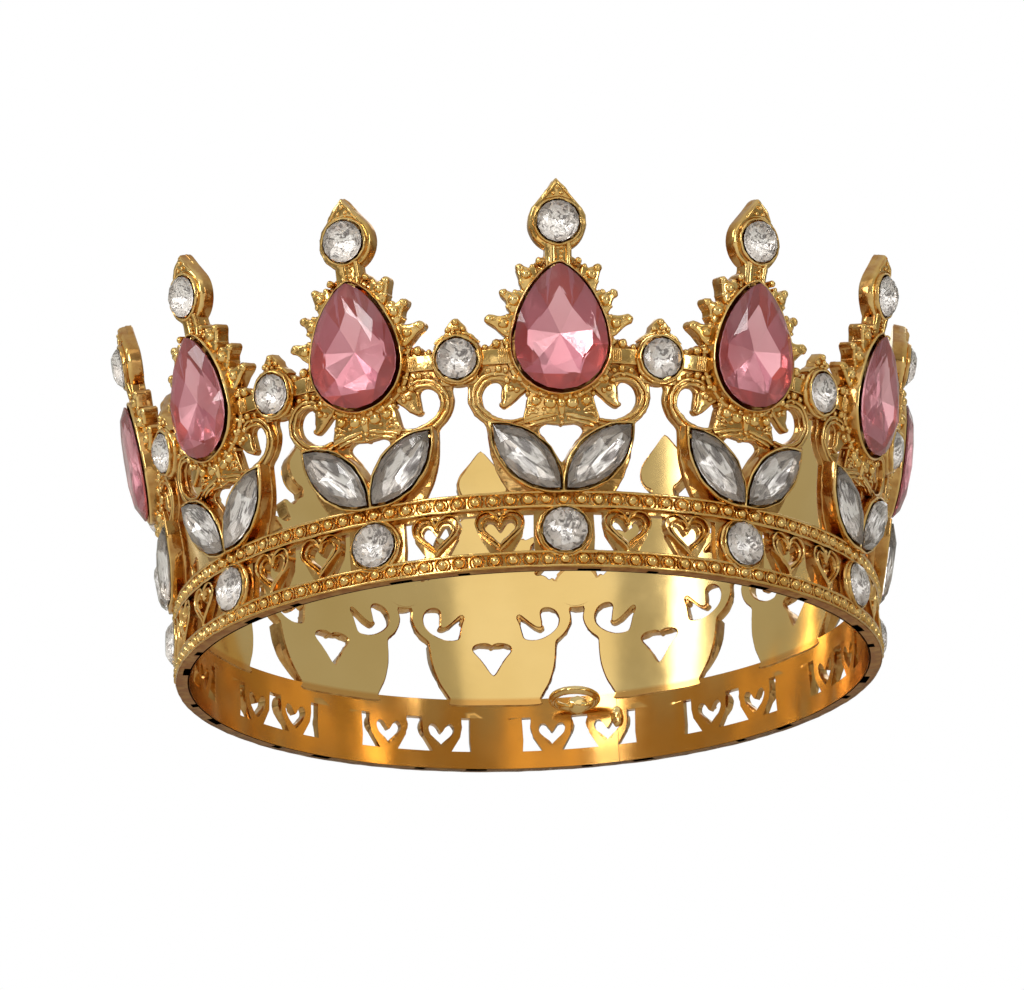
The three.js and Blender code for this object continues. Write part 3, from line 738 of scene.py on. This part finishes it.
def crest_bent():
    """The plate of a panel and the relief that follows the ring."""
    hole = curve(J_HOLE, 3)
    holes = [hole, hole * (-1, 1), curve(mirrored(KITE_HALF), 2)]
    plate = Drawing()
    outline = mirrored([p for p in curve(PLATE_HALF, 3, closed=False) if p[0] >= 0])
    plate.prism(outline, 0, 1.5, 0.3, holes=holes, back_bevel=0.28)
    plate.prism(curve(mirrored(FIELD_HALF), 2), 0.3, 2.35, 0.3)
    pear = counterclockwise(pear_outline())
    collar, seat = (offset(pear, amount) + (0, PEAR_CENTRE) for amount in (1.9, 0.5))
    plate.prism(collar, 0.4, 2.6, 0.7, holes=[seat])
    plate.slice(2.0)
    plate.add_both_sides(crest_side())
    plate.bar([(0, 19.8), (0, 18.0), (0, 16.6), (0, 15.2)], [0.35, 0.95, 0.7, 0.3], [2.8, 3.3, 3.0, 2.6])
    plate.ball(0, 17.4, 0.6, 2.9)
    plate.ball(0, 15.0, 0.5, 2.5)
    plate.ball(0, 13.9, 0.6, 2.1)
    plate.bar([(0, 0.2), (0, 2.5), (0, 5.2)], 0.35, 3.4)
    plate.prism([(-2.6, 44.4), (2.6, 44.4), (2.7, 49.8), (-2.7, 49.8)], 0.3, 3.15, 0.4)
    plate.bar([(-1.4, 44.6), (-1.4, 47), (-1.4, 49.6)], [1.1, 1.2, 1.2], [3.4, 3.6, 3.9])
    plate.bar([(2.0, 44.6), (2.0, 47), (2.0, 49.6)], [0.5, 0.55, 0.6], [3.6, 3.6, 4.0])
    for h in (45.9, 46.9, 47.9, 48.9):
        plate.ball(0.6, h, 0.45, 3.3)
    return plate.finished()


def pear_bezel():
    d = Drawing()
    d.rim(pear_outline(), BEZEL)
    return d.finished(0.5)


def leaf_bezel():
    d = Drawing()
    outline = counterclockwise(leaf_outline())
    d.prism(offset(outline, 0.75), 0.45, 2.3, 0.3, holes=[offset(outline, 0.35)])
    d.rim(outline, SMALL_BEZEL)
    return d.finished()


def tip_setting():
    d = Drawing()
    d.prism(drop_outline(5.85, 9.2), 0.12, 3.3, 0.9, 1.3, holes=[circle(4.5, 48)])
    d.rim(circle(4.1, 48), TIP_BEZEL)
    for side in (-1, 1):
        d.bar([(side * 3.0, 4.6), (side * 1.7, 6.3), (side * 0.15, 8.2)], [0.25, 0.35, 0.3], [3.3, 3.7, 3.2])
        d.ball(side * 0.8, 5.7, 0.45, 3.3)
    d.ball(0, 7.0, 0.45, 3.3)
    return d.finished()


def link_setting():
    d = Drawing()
    d.prism(circle(4.9, 44), -0.06, 1.3, 0.1)
    d.prism([(-2.9, -5.1), (2.9, -5.1), (3.4, -3.0), (-3.4, -3.0)], 0.0, 2.2, 0.3)
    d.prism(circle(5.35, 44), 0.02, 3.2, 0.7, 1.6, holes=[circle(4.3, 44)])
    d.rim(circle(4.0, 44), SMALL_BEZEL)
    peak = [
        (0, 4.3), (2.6, 3.6), (4.5, 2.9), (3.2, 4.5), (2.2, 5.5), (2.0, 6.5), (1.2, 7.4), (0.6, 8.2),
        (0, 8.3),
    ]
    d.prism(mirrored(peak), 0.1, 2.6, 0.4)
    for side in (-1, 1):
        d.ball(side * 1.55, 6.0, 0.62, 2.6)
        d.bar([(side * 4.3, 3.3), (side * 3.0, 4.5), (side * 1.4, 5.2)], 0.3, [2.9, 3.0, 2.9])
    d.ball(0, 7.5, 0.75, 2.5)
    d.ball(0.1, 6.2, 0.6, 2.9)
    d.ball(-0.6, 5.4, 0.5, 2.9)
    d.ball(0.7, 5.3, 0.45, 2.9)
    return d.finished()


# ---------------------------------------------------------------- band
def band_panel():
    """One panel's length of the band: a pierced web, two beaded rails and two wire hearts."""
    half = BAND_PITCH / 2
    web = Drawing()
    low, high = 3.9, 11.6
    edge = [
        (-half, 0), (half, 0), (half, low), (half - 4.2, low), (half - 2.1, 7.4), (half - 1.8, high),
        (half, high), (half, BAND_HEIGHT), (-half, BAND_HEIGHT), (-half, high), (-half + 1.8, high),
        (-half + 2.1, 7.4), (-half + 4.2, low), (-half, low),
    ]
    opening = np.array([
        (5.9, low), (10.4, low), (8.3, 7.2), (7.9, 9.2), (7.9, high), (5.9, high), (6.0, 9.4), (6.1, 6.4),
    ])
    heart = [(0, 4.9), (1.5, 6.2), (2.6, 7.7), (3.0, 9.1), (2.4, 10.1), (1.4, 9.9), (0.6, 8.8), (0, 8.1)]
    heart = curve(mirrored(heart), 2) + (HEART_OFFSET, 0)
    holes = [opening, opening * (-1, 1), heart, heart * (-1, 1)]
    web.prism(edge, 0, 1.6, 0.02, holes=holes, back_bevel=0.02)
    for bottom, top in RAILS:
        rail = [(-half, bottom + 0.02), (half, bottom + 0.02), (half, top - 0.02), (-half, top - 0.02)]
        web.prism(rail, 0.2, 2.2, 0.02, back_bevel=0.02)
    web.slice(2.4)
    d = Drawing()
    d.add(web.verts, web.faces)
    line = np.linspace(-half, half, 17)
    for z, top, width in ((0.32, 2.85, 0.32), (3.22, 2.8, 0.3), (12.58, 2.8, 0.3), (15.5, 2.85, 0.3)):
        d.bar([(x, z) for x in line], width, top, steps=1)
    for bottom, top in RAILS:
        z = (bottom + top) / 2
        for k in range(BEADS_PER_PANEL):
            x = -half + (k + 0.5) * BAND_PITCH / BEADS_PER_PANEL
            d.ball(x, z, 1.08, 2.25)
            d.rim(circle(1.46, 18, (x, z)), [(-0.2, 1.6), (-0.17, 2.55), (0, 2.75), (0.17, 2.55), (0.2, 1.6)])
    for side in (-1, 1):
        for width, top in ((9.7, 2.7), (7.4, 2.55)):
            outline = heart_outline(width, centre=(side * HEART_OFFSET, 7.75))
            d.rim(outline, [(-0.5, 0.5), (-0.45, top - 0.3), (-0.2, top), (0.05, top - 0.2), (0.1, 0.5)])
        d.ball(side * HEART_OFFSET, 9.3, 0.5, 2.0)
        d.ball(side * HEART_OFFSET, 11.4, 0.55, 2.0)
    return d


def band_seat():
    d = Drawing()
    d.prism(circle(5.6, 44), 0.3, 2.7, 0.5, 0.8, holes=[circle(4.7, 44)])
    d.rim(circle(4.4, 44), BAND_BEZEL)
    return d.finished()


# ---------------------------------------------------------------- stones
GIRDLE_BAND = 0.35


def stone_mesh(name, outline, inner, table, culets, depths, glass, foil, seed):
    """A cut stone: girdle outline, mid crown ring, table and back facets. Its facets are the hull of its
    points. Depths are those of the girdle, the crown ring and the table."""
    girdle, crown, top = depths
    bm = bmesh.new()
    points = [(x, h, girdle) for x, h in outline] + [(x, h, girdle - GIRDLE_BAND) for x, h in outline]
    points += [(x, h, crown) for x, h in inner] + [(x, h, top) for x, h in table]
    points += list(culets)
    for p in points:
        bm.verts.new([c * MM for c in p])
    hull = bmesh.ops.convex_hull(bm, input=bm.verts[:])
    unused = [e for e in hull["geom_interior"] if isinstance(e, bmesh.types.BMVert)]
    bmesh.ops.delete(bm, geom=unused, context="VERTS")
    bmesh.ops.dissolve_limit(bm, angle_limit=math.radians(4), verts=bm.verts[:], edges=bm.edges[:])
    bmesh.ops.recalc_face_normals(bm, faces=bm.faces[:])
    mesh = bpy.data.meshes.new(name)
    bm.to_mesh(mesh)
    bm.free()
    mesh.materials.append(glass)
    mesh.materials.append(foil)
    # painted reflections: foil facets are painted bright round the culet and dim towards the girdle, each with
    # its own random tone
    pick = random.Random(seed)
    heart = culets[-1][1]
    wide = max(p[0] for p in outline)
    high, low = max(p[1] for p in outline) - heart, heart - min(p[1] for p in outline)
    painted_facet_reflection = mesh.attributes.new("painted_facet_reflection", "FLOAT", "FACE")
    for polygon in mesh.polygons:
        polygon.use_smooth = False
        if polygon.normal.z < -0.1:
            polygon.material_index = 1
        middle = polygon.center / MM
        rise = middle.y - heart
        rim = math.hypot(middle.x / wide, rise / (high if rise > 0 else low))
        painted_facet_reflection.data[polygon.index].value = clamped(1.0 - 1.35 * rim**2 + pick.uniform(-0.25, 0.25))
    return mesh


def scaled(outline, share, centre=(0, 0), every=1, shift=0):
    """Every so many points of an outline, drawn in towards its centre."""
    picked = np.array(outline, float)[shift::every]
    return (picked - centre) * share + centre


def round_stone(name, radius, girdle, height, back, seed):
    """A round brilliant: its girdle depth, its height above that and the depth of its culet."""
    outline = circle(radius, 16)
    star = circle(radius * 0.80, 16)[1::2]
    table = circle(radius * 0.56, 8)
    pick = random.Random(seed)
    fall = girdle - back
    mains = [(*p, back + fall * pick.uniform(0.36, 0.46)) for p in circle(radius * 0.62, 16)[1::2]]
    halves = [(*p, back + fall * pick.uniform(0.13, 0.2)) for p in circle(radius * 0.32, 16)[::2]]
    culets = [*mains, *halves, (0, 0, back)]
    depths = (girdle, girdle + height * 0.62, girdle + height)
    return stone_mesh(name, outline, star, table, culets, depths, CLEAR_GLASS, CLEAR_FOIL, seed)


def pear_stone(name, seed):
    outline = counterclockwise(pear_outline(12))
    centre = (0, 1.2)
    inner = scaled(outline, 0.83, centre, every=4, shift=1)
    table = scaled(outline, 0.60, centre, every=4, shift=3)
    half = [(2.4, 7.4, 2.75), (6.0, 2.9, 3.1), (6.1, 0.2, 3.1), (4.2, -2.4, 2.8), (3.4, -5.4, 3.3)]
    culets = [*half, *((-x, h, d) for x, h, d in half), (0, 11.6, 3.6), (0, 2.3, 1.7)]
    return stone_mesh(name, outline, inner, table, culets, (5.1, 6.4, 6.9), PINK_GLASS, PINK_FOIL, seed)


def leaf_stone(name, seed):
    outline = counterclockwise(leaf_outline(8))
    inner = scaled(outline, 0.80, every=2)
    table = scaled(outline, 0.52, every=2, shift=1)
    culets = [
        (0, 6.6, 2.7), (0.3, -6.6, 2.7), (2.4, 1.4, 2.8), (-2.3, -1.6, 2.85), (2.1, -3.0, 2.75),
        (-2.2, 2.8, 2.8), (1.2, 4.2, 2.5), (-1.1, -4.4, 2.5), (0.2, 2.6, 2.05), (0, -2.2, 2.0), (0, 0, 1.95),
    ]
    return stone_mesh(name, outline, inner, table, culets, (4.3, 5.15, 5.5), CLEAR_GLASS, LEAF_FOIL, seed)


def set_stone(name, mesh, panel, anchor, flare=FLARE, turn=0.0):
    """Puts one stone at its anchor (x, h) on a panel."""
    origin, along, up, out = seat_frame(panel, anchor, flare, turn)
    matrix = Matrix.Identity(4)
    for k, column in enumerate((along, up, out, origin * MM)):
        for row in range(3):
            matrix[row][k] = column[row]
    piece = add_object(name, mesh)
    piece.matrix_world = matrix
    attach(piece, "root")
    return piece


# ---------------------------------------------------------------- build the metal
crest_flat = crest_bent()
pear_flat, leaf_flat, tip_flat, link_flat = pear_bezel(), leaf_bezel(), tip_setting(), link_setting()
seam_x = (CLOSING_SEAM - SEAM_PANEL * PANEL_ANGLE) * BAND_RADIUS
band_whole, band_before_seam, band_after_seam = (
    drawing.finished(0.8, BAND_PITCH / 2)
    for drawing in (
        band_panel(),
        band_panel().keep_side(seam_x - SEAM_GAP / 2, -1),
        band_panel().keep_side(seam_x + SEAM_GAP / 2, 1),
    )
)
seat_flat = band_seat()
link_at = (PANEL_ANGLE / 2 * drawn_radius(LINK_CENTRE), LINK_CENTRE)

section_of = {}
for index in range(PANELS // PANELS_PER_SECTION):
    metal = Metal()
    start = FIRST_PANEL + index * PANELS_PER_SECTION
    panels = [(start + i) % PANELS for i in range(PANELS_PER_SECTION)]
    for panel in panels:
        section_of[panel] = f"frame_section_{index + 1}"
        metal.lay(crest_flat, panel)
        metal.lay(pear_flat, panel, anchor=(0, PEAR_CENTRE))
        metal.lay(tip_flat, panel, anchor=(0, TIP_CENTRE))
        metal.lay(link_flat, panel, anchor=link_at)
        for side in (-1, 1):
            metal.lay(leaf_flat, panel, anchor=(side * LEAF_CENTRE, LEAF_CENTRE), turn=-side * LEAF_TURN)
        metal.lay(band_before_seam if panel == SEAM_PANEL else band_whole, panel, flare=0)
        metal.lay(seat_flat, panel, flare=0, anchor=(0, BAND_MIDDLE))
    if FIRST_PANEL in panels:
        metal.lay(band_after_seam, SEAM_PANEL, flare=0)
    piece = metal.to_object(f"crown_section_{index + 1}", GOLD)
    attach(piece, "root")
    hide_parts(f"frame_section_{index + 1}")

# ---------------------------------------------------------------- set the stones
TIP_GLASS = round_stone("tip_glass", 4.15, 4.4, 1.4, 2.2, 3)
LINK_GLASS = round_stone("link_glass", 4.0, 4.0, 1.3, 2.0, 5)
BAND_GLASS = round_stone("band_glass", 4.4, 3.5, 1.3, 1.75, 8)
PEAR_GLASS = pear_stone("pear_glass", 4)
LEAF_GLASS = leaf_stone("leaf_glass", 6)


def declare(node):
    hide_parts(node)


for panel in range(PANELS):
    number = f"{panel + 1:02d}"
    pear = set_stone(f"pear_glass_{number}", PEAR_GLASS, panel, (0, PEAR_CENTRE))
    declare(f"pear_stone_{number}")
    tip = set_stone(f"tip_glass_{number}", TIP_GLASS, panel, (0, TIP_CENTRE), turn=rng.uniform(0, 1))
    declare(f"tip_stone_{number}")
    for word, side in (("left", -1), ("right", 1)):
        place, turn = (side * LEAF_CENTRE, LEAF_CENTRE), -side * LEAF_TURN
        leaf = set_stone(f"leaf_glass_{number}_{word}", LEAF_GLASS, panel, place, turn=turn)
        declare(f"leaf_stone_{number}_{word}")
    for word, mesh, place, flare in (
        ("link", LINK_GLASS, link_at, FLARE), ("band", BAND_GLASS, (0, BAND_MIDDLE), 0),
    ):
        turn = rng.uniform(0, 1)
        stone = set_stone(f"{word}_glass_{number}", mesh, panel, place, flare, turn)
        declare(section_of[panel])


# ---------------------------------------------------------------- loop and solder
def lumpy(name, base, place, lumps, seed, node):
    """Sets a blob or ring of soldered metal in its place, with an uneven skin."""
    base.transform(place)
    for v in base.verts:
        v.co += v.normal * noise.noise((v.co + Vector((seed, 0, 0))) / (1.1 * MM)) * lumps * MM
    mesh = bpy.data.meshes.new(name)
    base.to_mesh(mesh)
    base.free()
    mesh.polygons.foreach_set("use_smooth", [True] * len(mesh.polygons))
    mesh.materials.append(SOLDER)
    piece = add_object(name, mesh)
    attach(piece, "root")
    declare(node)


def ring_mesh(radius, wire, around=64, across=16):
    """A wire ring that lies flat."""
    bm = bmesh.new()
    rows = []
    for i in range(around):
        a = 2 * math.pi * i / around
        rows.append([bm.verts.new(((radius + wire * math.cos(b)) * math.cos(a) * MM,
                                   (radius + wire * math.cos(b)) * math.sin(a) * MM, wire * math.sin(b) * MM))
                     for b in (2 * math.pi * j / across for j in range(across))])
    for i in range(around):
        for j in range(across):
            k, m = (i + 1) % around, (j + 1) % across
            bm.faces.new((rows[i][j], rows[k][j], rows[k][m], rows[i][m]))
    bm.normal_update()
    return bm


def blob_mesh(half_size):
    """A lump of solder before it is made uneven."""
    bm = bmesh.new()
    bmesh.ops.create_icosphere(bm, subdivisions=4, radius=MM)
    bmesh.ops.scale(bm, vec=half_size, verts=bm.verts[:])
    bm.normal_update()
    return bm


def ring_matrix(angle, place, tilt=0.0):
    """From the origin to a place (radius, height) inside the ring."""
    radius, height = place
    move = Matrix.Rotation(angle, 4, "Z") @ Matrix.Translation((0, -radius * MM, height * MM))
    return move @ Matrix.Rotation(tilt, 4, "X")


loop_matrix = ring_matrix(LOOP_ANGLE, LOOP_PLACE, LOOP_TILT)
lumpy("wire_loop", ring_mesh(4.8, 0.9), loop_matrix, 0.08, 1, "hairpin_loop")
blob = blob_mesh((2.4, 1.5, 2.1))
blob_matrix = ring_matrix(LOOP_ANGLE, LOOP_SOLDER_PLACE)
lumpy("loop_solder_blob", blob, blob_matrix, 0.3, 2, "loop_solder")
blob = blob_mesh((1.3, 0.8, 2.4))
blob_matrix = ring_matrix(CLOSING_SEAM, SEAM_SOLDER_PLACE)
lumpy("seam_solder_blob", blob, blob_matrix, 0.3, 3, "seam_solder")

# ---------------------------------------------------------------- stage, light and camera
scene = bpy.context.scene
scene.view_settings.view_transform = "Standard"
# radii of the floor's edges in millimetres, then its drop and the distances of its fade in metres
FLOOR_RADII = (70.9, 73.1, 1200)
FLOOR_DROP = 0.00002
FLOOR_FADE = (0.3, 0.75)
METAL_SEES = [
    (0.0, (0.36, 0.30, 0.22)), (0.36, (0.36, 0.29, 0.20)), (0.46, (0.13, 0.11, 0.08)),
    (0.52, (0.26, 0.25, 0.21)), (0.62, (0.36, 0.36, 0.32)), (1.0, (0.6, 0.6, 0.58)),
]
STONES_SEE = [
    (0.36, (0.22, 0.2, 0.2)), (0.42, (0.8, 0.78, 0.77)), (0.5, (1.4, 1.37, 1.35)), (0.66, (2.0, 1.97, 1.93)),
]


def one_sided_floor():
    """A pale floor that can be seen only from above, because the camera looks up from below it. It is open
    under the band, so that the band's bottom face still catches light, and fades out far from the crown."""
    bm = bmesh.new()
    steps = 120
    inner, outer, far = (
        [bm.verts.new((x * MM, y * MM, 0)) for x, y in circle(radius, steps)] for radius in FLOOR_RADII
    )
    bm.faces.new(inner)
    for i in range(steps):
        j = (i + 1) % steps
        bm.faces.new((outer[i], far[i], far[j], outer[j]))
    mesh = bpy.data.meshes.new("floor")
    bm.to_mesh(mesh)
    bm.free()
    floor = add_object("floor", mesh)
    floor.location.z = -FLOOR_DROP
    material, tree, shader = new_material("pale_floor")
    shader.inputs["Base Color"].default_value = (0.86, 0.85, 0.83, 1)
    shader.inputs["Roughness"].default_value = 0.7
    clear = tree.nodes.new("ShaderNodeBsdfTransparent")
    below = tree.nodes.new("ShaderNodeNewGeometry").outputs["Backfacing"]
    distance = tree.nodes.new("ShaderNodeVectorMath")
    distance.operation = "LENGTH"
    tree.links.new(tree.nodes.new("ShaderNodeTexCoord").outputs["Object"], distance.inputs[0])
    faded = range_node(tree, distance.outputs["Value"], 0, 1, *FLOOR_FADE)
    hidden = math_node(tree, "MAXIMUM", below, faded)
    both = shader_mix(tree, hidden, shader.outputs["BSDF"], clear.outputs["BSDF"])
    tree.links.new(both, tree.nodes["Material Output"].inputs["Surface"])
    mesh.materials.append(material)


def studio_world():
    """White to the eye. What the metal mirrors is a warm dim room, lighter above. The stones collect a
    brighter and more broken one."""
    world = bpy.data.worlds.new("studio")
    scene.world = world
    world.use_nodes = True
    tree = world.node_tree
    white = tree.nodes["Background"]
    white.inputs["Color"].default_value = (1, 1, 1, 1)
    white.inputs["Strength"].default_value = 1.0
    direction = tree.nodes.new("ShaderNodeTexCoord").outputs["Generated"]
    height = range_node(tree, axis_node(tree, direction, "Z"), 0, 1, -1, 1)
    room, patches = (tree.nodes.new("ShaderNodeBackground") for _ in range(2))
    tree.links.new(ramp_node(tree, height, METAL_SEES), room.inputs["Color"])
    broken = ramp_node(tree, noise_node(tree, 2.6, 2, direction), STONES_SEE)
    tree.links.new(broken, patches.inputs["Color"])
    path = tree.nodes.new("ShaderNodeLightPath").outputs
    unseen = shader_mix(tree, path["Is Transmission Ray"], room.outputs[0], patches.outputs[0])
    seen = shader_mix(tree, path["Is Camera Ray"], unseen, white.outputs[0])
    tree.links.new(seen, tree.nodes["World Output"].inputs["Surface"])


LIT_POINT = (0, 0, 0.035)


def softbox(name, azimuth, elevation, distance, size, power, colour=(1, 1, 1)):
    """A rectangular light that looks at the crown."""
    light = bpy.data.lights.new(name, "AREA")
    light.shape = "RECTANGLE"
    light.size, light.size_y = size
    light.energy = power
    light.color = colour
    lamp = add_object(name, light)
    a, e = math.radians(azimuth), math.radians(elevation)
    away = Vector((math.sin(a) * math.cos(e), -math.cos(a) * math.cos(e), math.sin(e)))
    lamp.location = Vector(LIT_POINT) + away * distance
    lamp.rotation_mode = "QUATERNION"
    lamp.rotation_quaternion = away.to_track_quat("Z", "Y")
    lamp.visible_camera = False


def set_camera():
    """A long lens that looks up at the crown from below its band."""
    data = bpy.data.cameras.new("camera")
    data.lens, data.sensor_width = CAMERA_LENS, 36.0
    data.clip_start, data.clip_end = 0.05, 20
    a, e = CAMERA_AZIMUTH, CAMERA_ELEVATION
    forward = Vector((math.sin(a) * math.cos(e), math.cos(a) * math.cos(e), math.sin(e)))
    level = Vector((math.cos(a), -math.sin(a), 0))
    right = level * math.cos(CAMERA_ROLL) + level.cross(forward) * math.sin(CAMERA_ROLL)
    matrix = Matrix((right, right.cross(forward), -forward)).transposed().to_4x4()
    matrix.translation = Vector(CAMERA_PLACE) * MM
    scene.camera = add_object("camera", data)
    scene.camera.matrix_world = matrix


one_sided_floor()
studio_world()
softbox("front_card", -6, -4, 1.1, (0.36, 0.26), 0.34)
softbox("front_left", -34, 14, 0.9, (0.14, 0.4), 1.6)
softbox("front_right", 38, 2, 0.9, (0.09, 0.5), 1.1)
softbox("overhead", -10, 40, 0.9, (0.8, 0.3), 0.4, (1.0, 0.97, 0.9))
softbox("left_high", -70, 36, 0.9, (0.16, 0.35), 0.9)
softbox("back", 165, 35, 1.0, (0.8, 0.4), 0.9)
softbox("low_front", 8, -32, 1.0, (0.6, 0.15), 0.35, (1.0, 0.95, 0.85))
set_camera()
